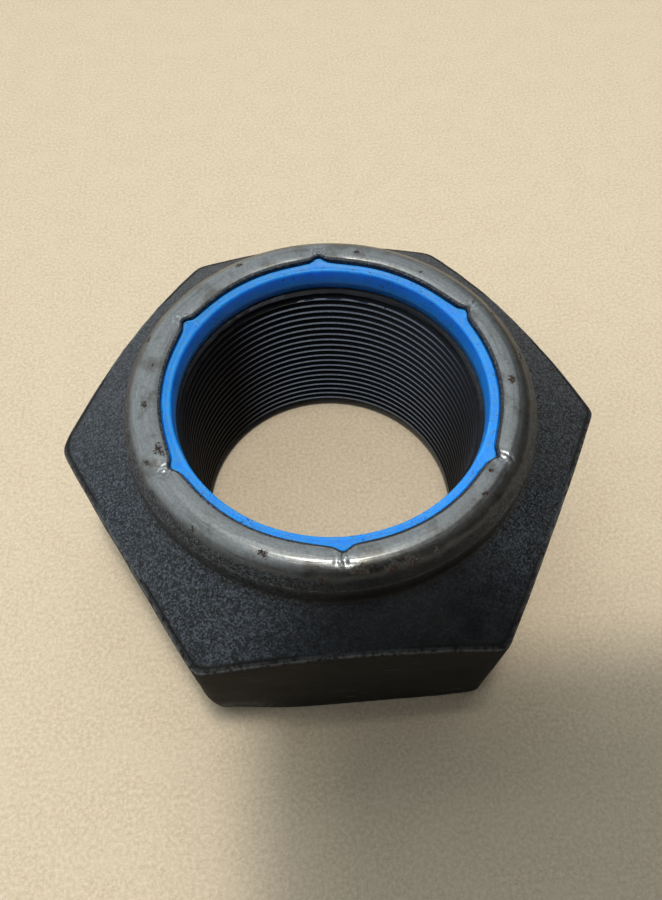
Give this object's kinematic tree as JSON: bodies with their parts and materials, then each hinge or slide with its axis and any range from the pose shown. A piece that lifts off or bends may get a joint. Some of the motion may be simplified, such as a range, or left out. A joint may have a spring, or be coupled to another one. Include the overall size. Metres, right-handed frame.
{
  "type": "nylon-insert lock nut",
  "caption": "Thick hexagonal lock nut in black steel: fine-pitch through thread, top chamfer, and a rolled collar gripping a blue nylon locking ring keyed by small notches.",
  "frame": {"origin": "centre of the bearing face, on the thread axis", "axes": "+Z along the thread axis from the bearing face to the nylon ring; one wrench flat faces -Y and two corners lie on the X axis"},
  "size_m": [0.1164, 0.1016, 0.0535],
  "materials": {
    "nut_steel": "black phosphated forged steel, matte and grainy, burnished grey on the rolled collar with rust specks",
    "ring_nylon": "satin blue moulded nylon"
  },
  "bodies": {
    "root": {"nut_body": "nut_steel", "nylon_ring": "ring_nylon"}
  },
  "joints": []
}
